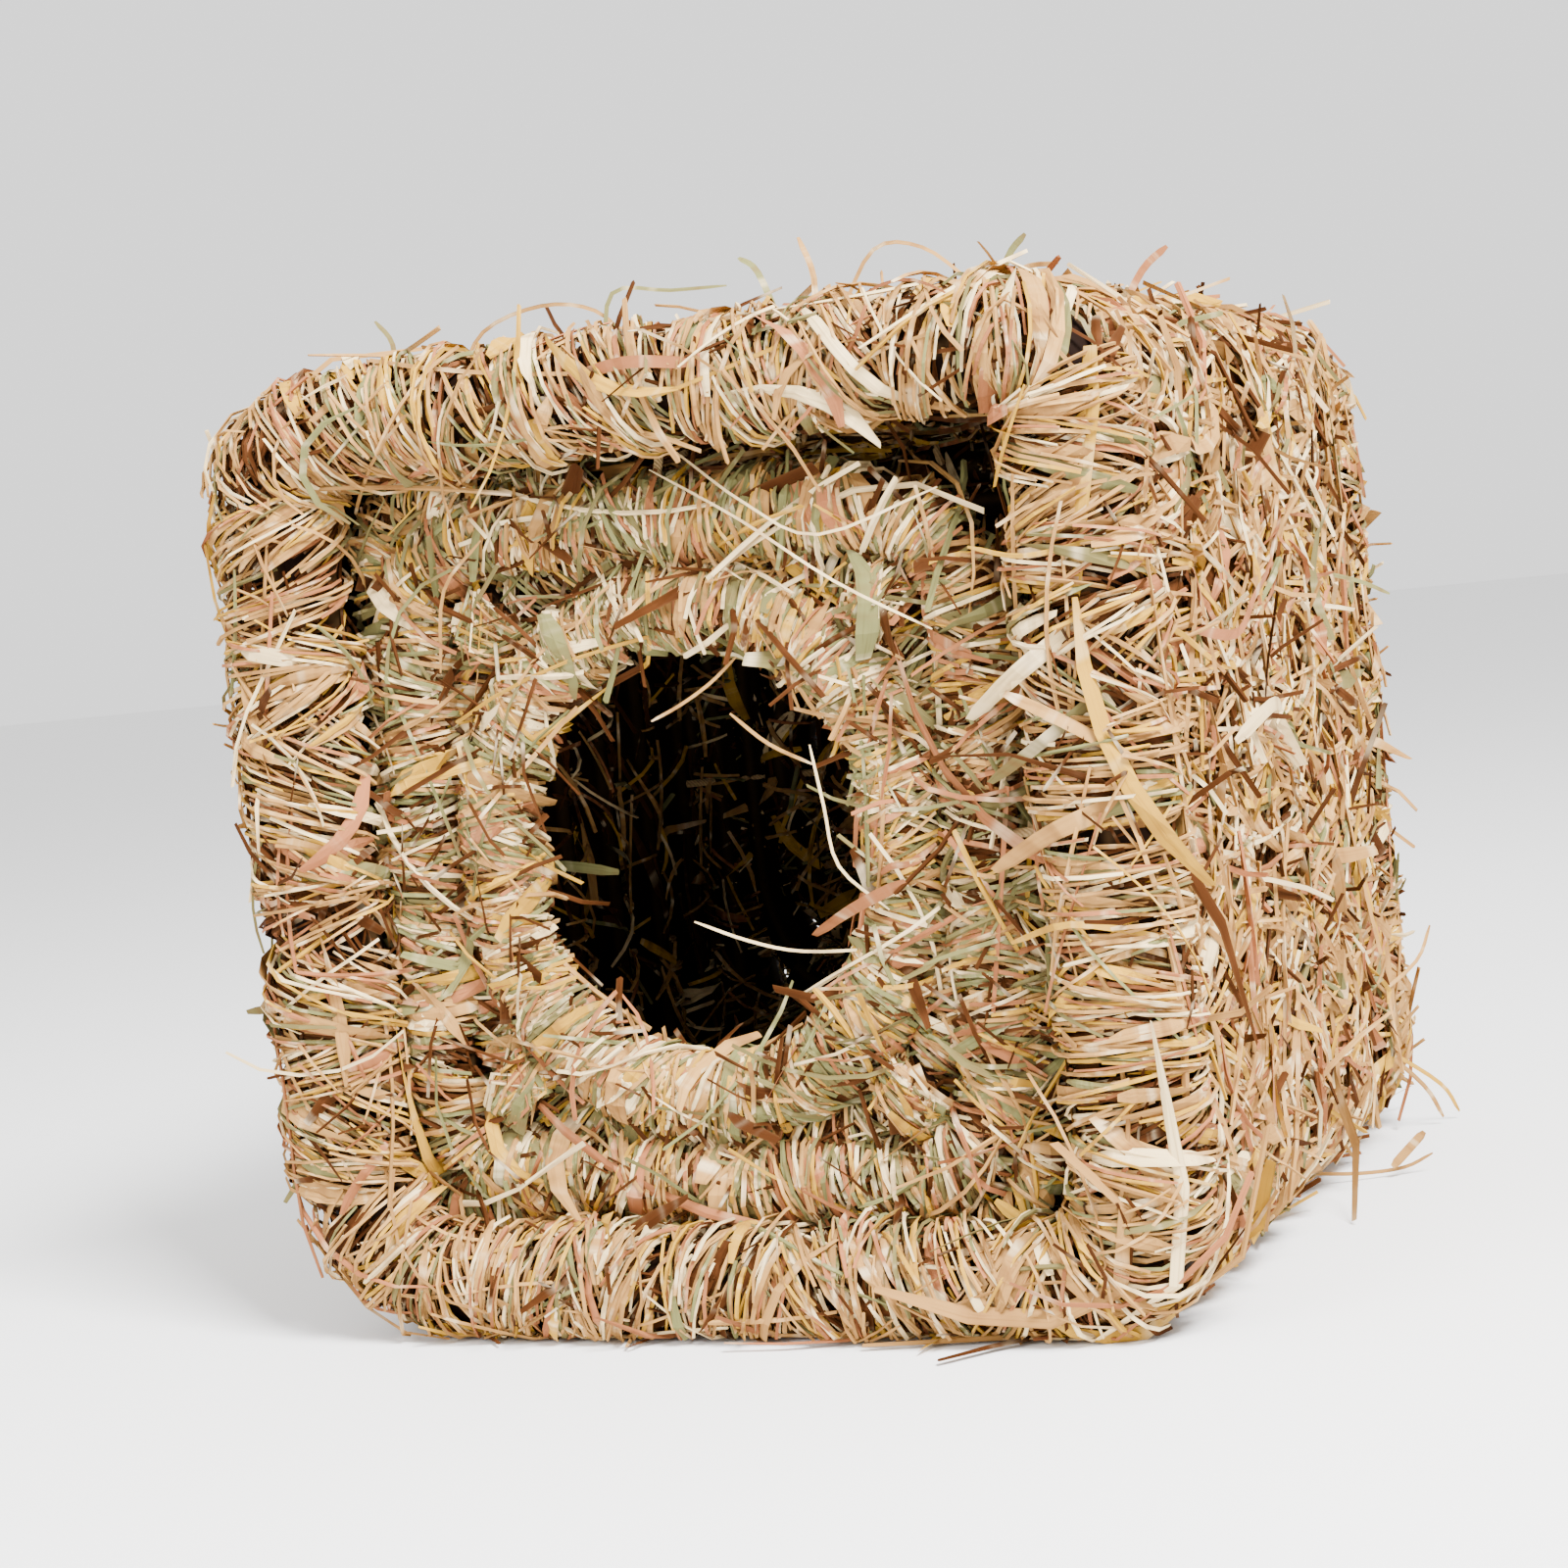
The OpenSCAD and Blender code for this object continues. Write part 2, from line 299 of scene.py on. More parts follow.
def luck(low, high, number=stem):
    """A random value between low and high, the same at every point of one stem or bunch."""
    seed = given["Seed"] * 101.0 + float(next(salt))
    return geo("FunctionNodeRandomValue", {"data_type": "FLOAT"},
               {"Min": low, "Max": high, "ID": number, "Seed": seed})


def blend(share, first, second):
    return first + (second - first) * share


rope_length = geo("GeometryNodeCurveLength", {}, {"Curve": given["Path"]})
bunch_count = (rope_length / given["Bunch spacing"]).floor()
spacing = rope_length / bunch_count
bunch = (luck(0.0, 1.0) * bunch_count).floor()
across = luck(-1.0, 1.0)
fan = luck(-0.8, 0.8, bunch)
slant = luck(-1.0, 1.0, bunch) * given["Slant"] + luck(-0.16, 0.16)
rise = luck(0.3, 1.2, bunch) * given["Bulge"]
tilt = luck(-1.0, 1.0, bunch) * given["Bulge"] * 0.6
bunch_place = (bunch + 0.5 + luck(-0.3, 0.3, bunch)) * spacing
looseness = luck(0.0, 1.0)
loose = looseness.less(given["Loose share"])
stray = loose * luck(0.1, 0.85) + (1.0 - loose) * luck(0.0, 0.16)
wild = loose * luck(-1.3, 1.3)
slant = slant + wild
blade = luck(0.0, 1.0).less(given["Blade share"])
half_angle = given["Wrap"] * luck(0.45, 1.1)
apart = luck(-1.0, 1.0)
together = luck(-1.0, 1.0, bunch) + apart * 0.12
facing = given["Facing"] + given["Facing spread"] * blend(given["Tuft"], apart, together)
layer = luck(0.0, 1.0)
depth = blend(layer, DEEPEST, HIGHEST)
print("random values drawn:", next(salt) - 1)

# %% [markdown]
# The wrapped half uses the rope's own directions: along the path, outwards from it, and to the
# front.  A point of a stem is found by how far along the path it is and how far round the rope.
# The bunch's bulge is a low arch both ways, so the gaps between bunches fall into shadow.

# %% Stems wrapped round the rope
half_length = half_angle * given["Rope radius"]
run = bunch_place + across * given["Bunch width"] * 0.5 * (1.0 + fan * along * 0.7)
run = run + along * half_length * slant.sine()
lap = rope_length * (run / rope_length).floor()
run = run - lap


def on_path(length, out):
    return geo("GeometryNodeSampleCurve", {"mode": "LENGTH", "use_all_curves": True},
               {"Curves": given["Path"], "Length": length}, out)


middle = on_path(run, "Position")
ahead = on_path(run, "Tangent")
to_front = geo("FunctionNodeInputVector", {"vector": (0.0, -1.0, 0.0)})
outward = to_front.cross(ahead)


def round_rope(angle):
    """Direction from the rope's middle at an angle round it, from outwards towards the front."""
    return outward * angle.cosine() + to_front * angle.sine()


turn = facing + half_angle * slant.cosine() * along
arch = (1.0 - across * across) * (1.0 - along * along * 0.7)
radial = round_rope(turn)
swollen = given["Rope radius"] + radial.dot(given["Swell"]).maths("MAXIMUM", 0.0)
height = swollen + depth + rise * (arch - 0.5) + tilt * along
wrapped = middle + radial * height
print("wrapped stems stand on the rope's surface")

# %% [markdown]
# The stray half is a line from the same spot, in the stem's own direction.  It is anchored at one
# end and lifts towards the other, and it bends a little sideways.  The width of the bar is then
# laid across the stem, rolled by chance, and drawn in near both ends.  Last, whatever would stand
# too far off the house or sink into the floor is brought back.

# %% Stray stems, and the thickness of every stem
spread_round = outward * (-facing.sine()) + to_front * facing.cosine()
base_radial = round_rope(facing)
stem_way = spread_round * slant.cosine() + ahead * slant.sine()
side_way = ahead * slant.cosine() - spread_round * slant.sine()
tip = (along + 1.0) * 0.5
reach = half_length * (1.0 + loose * luck(-0.3, 0.9))
lift = given["Loft"] * luck(-0.5, 1.0) * loose * tip * tip
curl = luck(-0.4, 0.4) * (1.0 + blade) * reach * along * along
base = middle + base_radial * (swollen + depth + rise * 0.3)
straight = base + stem_way * (along * reach) + base_radial * lift + side_way * curl


def kept_inside(point, margin, height):
    """The point, brought back inside a margin round the frame's box, and over a height."""
    low = (CAD_BOX[0][0] - margin, CAD_BOX[0][1] - margin, height)
    high = tuple(value + margin for value in CAD_BOX[1])
    return point.vector("MAXIMUM", low).vector("MINIMUM", high)


spine = kept_inside(blend(stray, wrapped, straight), REACH, LINE_HEIGHT)
taper = given["Stoutness"] - along.absolute().power(8.0) * blend(blade, 0.15, 0.5)
width = blend(blade, luck(*STEM_WIDTH), luck(*BLADE_WIDTH)) * taper
thick = blend(blade, luck(*STEM_THICKNESS), luck(*BLADE_THICKNESS)) * taper
roll = blend(blade, luck(-1.5, 1.5), luck(-0.6, 0.6)) + along * luck(-0.8, 0.8) * (1.0 + blade)
wide_way = side_way * roll.cosine() + radial * roll.sine()
high_way = radial * roll.cosine() - side_way * roll.sine()
moved = spine + wide_way * (place.part("Y") * width) + high_way * (place.part("X") * thick)
stems = geo("GeometryNodeSetPosition", {},
            {"Geometry": stems, "Position": kept_inside(moved, SKIN_REACH, SKIN_HEIGHT)})
print("stems have a width and a roll")

# %% [markdown]
# Colour comes from a map on the stems.  The map holds narrow strips, one for each tone of hay, and
# a stem lies along one strip, so any number of stems can share one finish.  Chance picks the
# strip: most stems are straw, some are cream, yellow, pink or green, and the greener hay sits in
# the front panel.  The stems that lie deepest get dark brown strips as painted shade, so the gaps
# between the others look dark.

# %% Each stem picks its strip of colour
pick = luck(0.0, 1.0)
shade_pick = luck(0.0, 1.0)


def strip_of(kind):
    first, count = TONES[kind]
    return (shade_pick * float(count)).floor() + float(first)


strip = strip_of("straw")
green_top = given["Green share"]
for kind, extra in (("cream", 0.40), ("pink", 0.25), ("yellow", 0.12)):
    strip = blend(pick.less(green_top + extra), strip, strip_of(kind))
strip = blend(pick.less(green_top), strip, strip_of("green"))
# painted shade: the deepest stems take the dark brown strips
strip = blend(layer.less(given["Painted shade share"]), strip, strip_of("brown"))
BAR_SPAN = 1.74  # a little more than the three-sided bar is wide, before it is stretched
corner = place.part("Y") / BAR_SPAN + 0.5
end_cap = place.part("X").absolute() + place.part("Y").absolute()
end_nudge = end_cap.less(0.1) * along * 0.02
map_x = (strip + STRIP_EDGE + corner * STRIP_FILL) / float(STRIPS)
map_y = 0.03 + luck(0.0, 0.68) + tip * 0.24 + end_nudge
map_place = geo("ShaderNodeCombineXYZ", {}, [map_x, map_y, 0.0])
stems = stored(stems, HAY_MAP, "FLOAT2", map_place, "CORNER")
print("strips:", STRIPS)

# %% [markdown]
# Under the stems the rope has a core of packed hay, or the light would shine through.  It is a
# plain tube along the same path, a little thinner than the rope, and it lies on the darkest
# strips: its near black colour is painted shade for the deep inside of the rope.

# %% The dark core, and the end of the tree
core_path = geo("GeometryNodeResampleCurve", {"mode": "LENGTH"},
                {"Curve": given["Path"], "Length": CORE_STEP})
core_path = stored(core_path, "core along", "FLOAT",
                   geo("GeometryNodeSplineParameter", out="Factor"))
core_radius = given["Rope radius"] - given["Core inset"]
profile = geo("GeometryNodeCurvePrimitiveCircle", {"mode": "RADIUS"},
              {"Resolution": CORE_SIDES, "Radius": core_radius}, "Curve")
profile = stored(profile, "core round", "FLOAT",
                 geo("GeometryNodeSplineParameter", out="Factor"))
core = geo("GeometryNodeCurveToMesh", {},
           {"Curve": core_path, "Profile Curve": profile, "Fill Caps": True})
round_wave = (recalled("core round", "FLOAT") * 2.0 - 1.0).absolute()
long_wave = geo("ShaderNodeMath", {"operation": "PINGPONG"},
                [recalled("core along", "FLOAT") * 16.0, 1.0])
core_x = (float(TONES["core"][0]) + 0.1 + round_wave * 1.8) / float(STRIPS)
core_place = geo("ShaderNodeCombineXYZ", {}, [core_x, 0.03 + long_wave * 0.94, 0.0])
core = stored(core, HAY_MAP, "FLOAT2", core_place, "CORNER")

joined = geo("GeometryNodeJoinGeometry")
join = hay_tree.nodes[-1]
for piece in (stems, shade(core)):
    hay_tree.links.new(piece.socket, join.inputs[0])
finished = geo("GeometryNodeRealizeInstances", {}, {"Geometry": joined})
finished = geo("GeometryNodeSetMaterial", {}, {"Geometry": finished, "Material": given["Hay"]})
group_output = hay_tree.nodes.new("NodeGroupOutput")
hay_tree.links.new(finished.socket, group_output.inputs[0])
print("the tree has", len(hay_tree.nodes), "nodes")

# %% [markdown]
# ## The finish of dry hay
#
# Dried meadow grass isn't one colour.  Straw and cream stems lie beside yellow ones, blades that
# dried pink, and some that kept a grey green.  Each tone drifts along the stem, and fine veins run
# down it.  The darkest strips are painted shade: dark brown for the deepest stems, near black for
# the core.  The material reads only the stem's own map, so the pattern stays on the stem wherever
# it lies.

# %% Colours, and a small kit for materials
def colour(red, green, blue):
    """A colour as a screen shows it, 0 to 255, turned to the values that light needs."""
    return tuple((v / 255.0) ** 2.2 for v in (red, green, blue)) + (1.0,)


STRAW = colour(178, 134, 78)
YELLOW = colour(194, 148, 54)
PINK = colour(158, 100, 66)
GREEN = colour(112, 110, 70)
CREAM = colour(234, 206, 152)
# a dark brown that paints shade on the deepest stems
SHADE_BROWN = colour(60, 34, 17)
# near black painted shade for the inside of the rope
CORE_SHADE = colour(26, 16, 10)


def new_material(name):
    """A material with its surface shader and its tree."""
    made = bpy.data.materials.new(name)
    made.use_nodes = True
    surface = made.node_tree.nodes["Principled BSDF"]
    return made, made.node_tree, surface


def feed(tree, surface, name, value):
    tree.links.new(value.socket, surface.inputs[name])


def mixed(tree, factor, first, second, how="MIX"):
    return node(tree, "ShaderNodeMix", {"data_type": "RGBA", "blend_type": how},
                {"Factor": factor, "A": first, "B": second}, "Result")


def noise(tree, place, scale, detail=2.0):
    return node(tree, "ShaderNodeTexNoise", {"noise_dimensions": "3D"},
                {"Vector": place, "Scale": scale, "Detail": detail}, "Fac")


def between(tree, value, low, high):
    """Nothing below low, all above high, and a smooth step between."""
    return node(tree, "ShaderNodeMapRange", {"interpolation_type": "SMOOTHSTEP"},
                {"Value": value, "From Min": low, "From Max": high}, "Result")


print("straw in linear light:", [round(v, 2) for v in STRAW[:3]])

# %% Dry hay
hay, tree, surface = new_material("dry hay")
uv = node(tree, "ShaderNodeUVMap", {"uv_map": HAY_MAP})
strip_place = uv.part("X") * float(STRIPS)
strip_number = strip_place.floor()
on_strip = strip_place.fraction()
down_stem = uv.part("Y")

# the kind of hay changes in steps from strip to strip
ramp = tree.nodes.new("ShaderNodeValToRGB")
ramp.color_ramp.interpolation = "CONSTANT"
stops = [(TONES[kind][0] / STRIPS, tone) for kind, tone in
         (("straw", STRAW), ("yellow", YELLOW), ("pink", PINK), ("green", GREEN),
          ("cream", CREAM), ("brown", SHADE_BROWN), ("core", CORE_SHADE))]
ramp.color_ramp.elements.remove(ramp.color_ramp.elements[1])
for number, (where, tone) in enumerate(stops):
    stop = ramp.color_ramp.elements[0] if number == 0 else ramp.color_ramp.elements.new(where)
    stop.position, stop.color = where, tone
middle_of_strip = (strip_number + 0.5) / float(STRIPS)
tree.links.new(middle_of_strip.socket, ramp.inputs["Fac"])
tone = Sock(tree, ramp.outputs["Color"])

# every strip is a little lighter or darker, and drifts along its length
strip_luck = node(tree, "ShaderNodeTexWhiteNoise", {"noise_dimensions": "1D"},
                  {"W": strip_number}, "Value")
stretched = node(tree, "ShaderNodeCombineXYZ", {}, [strip_number * 7.3, down_stem * 9.0, 0.0])
drift = noise(tree, stretched, 1.6, 3.0)
weathered = between(tree, drift, 0.52, 0.72)
bleached = between(tree, drift, 0.46, 0.26)
above_core = strip_number.less(TONES["core"][0] - 0.5)
tone = mixed(tree, strip_luck * 0.4 * above_core, tone, colour(96, 64, 36))
tone = mixed(tree, weathered * 0.5 * above_core, tone, colour(98, 60, 36))
tone = mixed(tree, bleached * 0.6 * above_core, tone, colour(238, 216, 174))

# veins run down the stem, and its edges are a little darker
vein_place = node(tree, "ShaderNodeCombineXYZ", {}, [strip_place * 9.0, down_stem * 5.0, 0.0])
veins = noise(tree, vein_place, 1.0, 3.0)
edge = (on_strip - 0.5).absolute() * 2.0
tone = mixed(tree, between(tree, veins, 0.5, 0.75) * 0.35, tone, colour(120, 88, 54), "MULTIPLY")
tone = mixed(tree, between(tree, edge, 0.45, 0.8) * 0.18, tone, colour(110, 84, 54))
feed(tree, surface, "Base Color", tone)
feed(tree, surface, "Roughness", 0.58 + veins * 0.25)
relief = node(tree, "ShaderNodeBump", {},
              {"Strength": 0.35, "Distance": 0.2 * MM, "Height": veins})
feed(tree, surface, "Normal", relief)
surface.inputs["Specular IOR Level"].default_value = 0.04
print("dry hay has", len(tree.nodes), "nodes")

# %% [markdown]
# ## Where the ropes run
#
# Each rope follows a rounded square, or part of one.  The frame gives the outside of every rope,
# so its middle line is half a rope further in.  The corner radii can't be read from a box, so they
# are written here, the same as in the design.

# %% Sizes measured from the frame
SHELL_CORNERS = [28 * MM, 27 * MM, 29 * MM, 42 * MM]  # outside, clockwise from the upper left
BASE_FLAT = 0.8 * MM  # pressed off the underside of each hoop
PANEL_CORNER = 34 * MM
PANEL_TURN = math.radians(2.5)  # the front panel, clockwise
ROPE_GAP = 0.3 * MM
ARC_STEPS = 10

shell_nodes = ["front_rim_roll"]
shell_nodes += sorted(n for n in frame["nodes"] if n.startswith("shell_course_"))
shell_nodes.append("rear_rim_roll")


def centre_of(name):
    low, high = (Vector(c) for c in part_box(name))
    return (low + high) / 2


def size_of(name):
    low, high = (Vector(c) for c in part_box(name))
    return high - low


ROPE_R = size_of("front_rim_roll").y / 2
PANEL_ROPE_R = size_of("front_panel_ring").y / 2
print("ropes: shell %.1f mm, panels %.1f mm" % (ROPE_R * 2 / MM, PANEL_ROPE_R * 2 / MM))


# %% Points of a rounded rectangle
def rounded_rectangle(middle, half, radii, turn=0.0):
    """Points clockwise, as seen from the front, from the upper left corner on."""
    points = []
    corners = [(-1, 1), (1, 1), (1, -1), (-1, -1)]
    for number, (sx, sz) in enumerate(corners):
        r = radii[number]
        x, z = sx * (half[0] - r), sz * (half[1] - r)
        start = math.pi - number * math.pi / 2
        for step in range(ARC_STEPS + 1):
            angle = start - step / ARC_STEPS * math.pi / 2
            points.append((x + r * math.cos(angle), z + r * math.sin(angle)))
    c, s = math.cos(turn), math.sin(turn)
    return [middle + Vector((x * c + z * s, 0, z * c - x * s)) for x, z in points]


def path_object(name, points, closed):
    """A curve object that runs through the points."""
    curve = bpy.data.curves.new(name, "CURVE")
    curve.dimensions = "3D"
    spline = curve.splines.new("POLY")
    spline.points.add(len(points) - 1)
    for dot, p in zip(spline.points, points):
        dot.co = (*p, 1.0)
    spline.use_cyclic_u = closed
    made = bpy.data.objects.new(name, curve)
    bpy.context.scene.collection.objects.link(made)
    return made


print("a corner has", ARC_STEPS, "steps")

# %% [markdown]
# A rope's piece starts as its path.  The tree is put on it with that rope's own sizes, and the
# result is taken off as a plain mesh, because the modifier mustn't stay.  The path has then done
# its work.

# %% Wind hay round one path
HAY_IDS = {item.name: item.identifier for item in hay_tree.interface.items_tree
           if item.in_out == "INPUT"}
KEEP_SHARE = 1.0


def wound(name, points, closed, **sizes):
    """A mesh object of hay wound along the points."""
    path = path_object(name + " path", points, closed)
    winder = path.modifiers.new("hay", "NODES")
    winder.node_group = hay_tree
    sizes["Stems"] = int(sizes["Stems"] * KEEP_SHARE)
    for key, value in {"Hay": hay, **sizes}.items():
        winder[HAY_IDS[key]] = value
    bpy.context.view_layer.update()
    seen = path.evaluated_get(bpy.context.evaluated_depsgraph_get())
    mesh = bpy.data.meshes.new_from_object(seen)
    path.modifiers.remove(winder)
    bpy.data.objects.remove(path)
    for extra in ("place", "stem", "core along", "core round"):
        if extra in mesh.attributes:
            mesh.attributes.remove(mesh.attributes[extra])
    piece = bpy.data.objects.new(name, mesh)
    bpy.context.scene.collection.objects.link(piece)
    return piece


def dress(node_name, points, closed=True, slot="hay_panel", **sizes):
    """Winds hay along the points, as the visible form of one node of the frame."""
    piece = wound(node_name + "_hay", points, closed, **sizes)
    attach(piece, "root")
    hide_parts(node_name)
    triangles = sum(len(p.vertices) - 2 for p in piece.data.polygons)
    print("%s: %d triangles" % (piece.name, triangles))
    return piece


# %% [markdown]
# ## The shell
#
# The front rim is the tidiest rope: its stems lie across it in clear bunches.  The hay swells to
# the left, so the right side reaches further over the front panel.  The hoops behind it are
# shaggier, and their stems lie every way.

# %% Front rim and shell hoops
REAR = -math.pi / 2  # facing the rear
RIM_HAY = {"Stems": 5900, "Bunch spacing": 12 * MM, "Bunch width": 13.5 * MM, "Facing": 1.25,
           "Facing spread": 2.0, "Wrap": 1.2, "Slant": 0.55, "Loose share": 0.1,
           "Loft": 5 * MM, "Bulge": 4.2 * MM, "Blade share": 0.12, "Green share": 0.1,
           "Swell": (-5.0 * MM, 0.0, 1.0 * MM)}
WALL_HAY = {"Stems": 3600, "Joints": 4, "Bunch spacing": 3.5 * MM, "Bunch width": 15 * MM,
            "Facing": 0.0, "Facing spread": 1.6, "Tuft": 0.7, "Wrap": 1.0, "Slant": 1.15,
            "Loose share": 0.3, "Loft": 6 * MM, "Bulge": 2.2 * MM, "Blade share": 0.16,
            "Painted shade share": 0.5, "Green share": 0.08, "Stoutness": 1.3, "Core inset": 2.0 * MM}


def shell_path(name):
    middle, size = centre_of(name), size_of(name)
    r = size.y / 2
    low, high = r - BASE_FLAT, size.z - r
    half = (size.x / 2 - r, (high - low) / 2)
    return rounded_rectangle(Vector((middle.x, middle.y, (low + high) / 2)), half,
                             [c - r for c in SHELL_CORNERS])


for number, name in enumerate(shell_nodes):
    recipe = dict(RIM_HAY if number == 0 else WALL_HAY)
    recipe.update({"Rope radius": ROPE_R, "Seed": 11 + number})
    if name == "rear_rim_roll":
        recipe.update({"Stems": 5200, "Facing": REAR * 0.8, "Facing spread": 2.0, "Slant": 0.7,
                       "Loose share": 0.18})
    dress(name, shell_path(name), slot="hay_rope", **recipe)

# %% [markdown]
# ## The front panel
#
# Two rings of thinner rope close the front: a rounded square one, and a round-ended one that is
# the doorway.  They are turned a little, as the maker left them.  The hay here is greener and
# longer.

# %% Panel rings, plugs and jamb bundle
# more of the panel's stems get the brown painted shade, as the panel sits back in shade
PANEL_HAY = {"Stems": 5100, "Bunch spacing": 4 * MM, "Bunch width": 14 * MM,
             "Facing": math.pi / 2, "Facing spread": 1.5, "Tuft": 0.8, "Wrap": 1.8,
             "Slant": 0.42, "Loose share": 0.08, "Loft": 4 * MM, "Bulge": 3.4 * MM,
             "Blade share": 0.12, "Painted shade share": 0.64, "Green share": 0.32, "Stoutness": 1.25}


def turned_half(size, turn, corner):
    """Half sizes of a rounded rectangle, from the box that it just fits when it is turned."""
    c, s = math.cos(turn), math.sin(turn)
    u, v = size.x / 2 - corner, size.z / 2 - corner
    return [(u * c - v * s) / (c * c - s * s) + corner, (v * c - u * s) / (c * c - s * s) + corner]


def panel_path(panel_node, turn, number, bend=None):
    """Middle line of ring number of a panel, counted inwards from its square ring."""
    half = turned_half(size_of(panel_node), turn, PANEL_CORNER)
    inset = PANEL_ROPE_R + number * (2 * PANEL_ROPE_R + ROPE_GAP)
    half = [h - inset for h in half]
    if bend is None:
        bend = PANEL_CORNER - PANEL_ROPE_R if number == 0 else min(half)
    return rounded_rectangle(centre_of(panel_node), half, [bend] * 4, turn)


def short_path(name, way, reach):
    middle = centre_of(name)
    return [middle + way * (reach * t) for t in (-1.0, -0.5, 0.0, 0.5, 1.0)]


def panel_hay(**changes):
    return {**PANEL_HAY, "Rope radius": PANEL_ROPE_R, **changes}


dress("front_panel_ring", panel_path("front_panel_ring", PANEL_TURN, 0), **panel_hay(Seed=31))
dress("doorway_ring", panel_path("front_panel_ring", PANEL_TURN, 1),
      **panel_hay(Seed=32, Stems=4300, Facing=1.3, Bulge=1.6 * MM, Loft=3 * MM,
                  **{"Facing spread": 1.35, "Core inset": 4 * MM}))
jamb_size = size_of("jamb_bundle")
dress("jamb_bundle", short_path("jamb_bundle", Vector((0, 0, -1)), jamb_size.z * 0.46),
      closed=False, **panel_hay(Seed=33, Stems=500, **{"Rope radius": jamb_size.x / 2}))
CORNER_NAMES = ["upper_left", "upper_right", "lower_right", "lower_left"]
for place_in, ring in (("front", "front_panel_ring"), ("rear", "rear_panel_ring")):
    for number, corner_name in enumerate(CORNER_NAMES):
        name = "%s_plug_%s" % (place_in, corner_name)
        away = centre_of(name) - centre_of(ring)
        along_ring = Vector((away.z, 0, -away.x)).normalized()
        facing_side = 1 if place_in == "front" else -1
        dress(name, short_path(name, along_ring, 6 * MM), closed=False,
              **panel_hay(Seed=40 + number + 10 * facing_side, Stems=240, Joints=4,
                          **{"Rope radius": size_of(name).x / 2, "Bunch spacing": 3 * MM,
                             "Facing": facing_side * math.pi / 2}))

# %% [markdown]
# ## The rear panel
#
# The rear panel closes the house.  A square ring goes round it, and three coils and a plug fill
# it.

# %% Rear rings and coils
rear_counts = {"rear_panel_ring": 2700, "rear_coil_1": 2000, "rear_coil_2": 1300,
               "rear_coil_3": 700}
for number, (name, count) in enumerate(rear_counts.items()):
    dress(name, panel_path("rear_panel_ring", 0.0, number),
          **panel_hay(Seed=61 + number, Stems=count, Joints=4,
                      **{"Facing": REAR, "Facing spread": 1.7, "Core inset": 1.0 * MM,
                         "Bunch spacing": 3 * MM}))
dress("rear_centre_plug", short_path("rear_centre_plug", Vector((1, 0, 0)), 3 * MM), closed=False,
      **panel_hay(Seed=70, Stems=200, Joints=4, Facing=REAR,
                  **{"Rope radius": size_of("rear_centre_plug").x / 2, "Bunch spacing": 2 * MM}))

# %% [markdown]
# ## Hay between the ropes
#
# No rope is a clean tube.  Loose hay fills the furrows between them, and it gets paths of its own:
# one in the furrow between the two front rings, one beside the front panel where it nearly touches
# the rim, one round the rear panel, and one between its two outer rings.

# %% Furrow hay, hem hay and corner hay
FURROW_HAY = {"Rope radius": 8 * MM, "Bunch spacing": 9 * MM, "Bunch width": 18 * MM, "Wrap": 1.5,
              "Slant": 0.6, "Loose share": 0.12, "Loft": 3 * MM, "Bulge": 2 * MM,
              "Blade share": 0.18, "Green share": 0.3, "Core inset": 3 * MM}


def pad(name, points, closed, slot="hay_panel", **changes):
    """Hay between ropes, with no node of its own in the frame."""
    piece = wound(name, points, closed, **{**FURROW_HAY, **changes})
    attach(piece, "root")
    print("%s: %d polygons" % (name, len(piece.data.polygons)))


def shifted(points, way):
    return [p + way for p in points]


front_y = Vector((0, -1, 0))
furrow = panel_path("front_panel_ring", PANEL_TURN, 0.5, bend=40 * MM)
pad("furrow_hay", shifted(furrow, front_y * -5 * MM), True,
    **{"Stems": 1300, "Facing": math.pi / 2, "Facing spread": 0.7, "Seed": 81})
loop = panel_path("front_panel_ring", PANEL_TURN, -0.42, bend=14 * MM)
corner = ARC_STEPS + 1
up_the_right = loop[2 * corner].lerp(loop[2 * corner - 1], 0.5)
along_the_top = loop[corner - 1].lerp(loop[corner], 0.35)
hem = [up_the_right] + loop[2 * corner:] + loop[:corner] + [along_the_top]
pad("hem_hay", shifted(hem, front_y * -0.5 * MM), False,
    **{"Stems": 1200, "Facing": math.pi / 2, "Facing spread": 0.8, "Seed": 82,
       "Rope radius": 7 * MM})
rear_hem = panel_path("rear_panel_ring", 0.0, -0.45, bend=12 * MM)
pad("rear_corner_hay", shifted(rear_hem, front_y * -1.0 * MM), True, Joints=4,
    **{"Stems": 1100, "Facing": REAR, "Facing spread": 1.6, "Seed": 83,
       "Rope radius": 7.5 * MM, "Core inset": 0.5 * MM})
rear_furrow = panel_path("rear_panel_ring", 0.0, 0.5, bend=44 * MM)
pad("rear_furrow_hay", rear_furrow, True, Joints=4,
    **{"Stems": 1000, "Facing": REAR, "Facing spread": 1.2, "Seed": 84, "Core inset": 1.0 * MM})

# %% [markdown]
# A few long wisps stand off every rope.  Inside, the walls are rough too: the doorway shows a
# little of the left wall and of the rear panel, so the inner side of those ropes gets a thin
# lining of stems.

# %% Wisps
WISPS = {"Wrap": 1.9, "Loose share": 1.0, "Loft": 8 * MM, "Tuft": 0.0, "Bunch width": 8 * MM,
         "Blade share": 0.2, "Core inset": 4 * MM, "Joints": 5}
for number, name in enumerate(shell_nodes):
    pad(name + "_wisps", shell_path(name), True, slot="hay_rope",
        **{**WALL_HAY, **WISPS, "Stems": 60, "Seed": 121 + number, "Rope radius": ROPE_R})
for number, name in enumerate(("front_panel_ring", "doorway_ring")):
    pad(name + "_wisps", panel_path("front_panel_ring", PANEL_TURN, number), True,
        **{**PANEL_HAY, **WISPS, "Stems": 70, "Seed": 131 + number, "Loft": 5 * MM,
           "Rope radius": PANEL_ROPE_R})

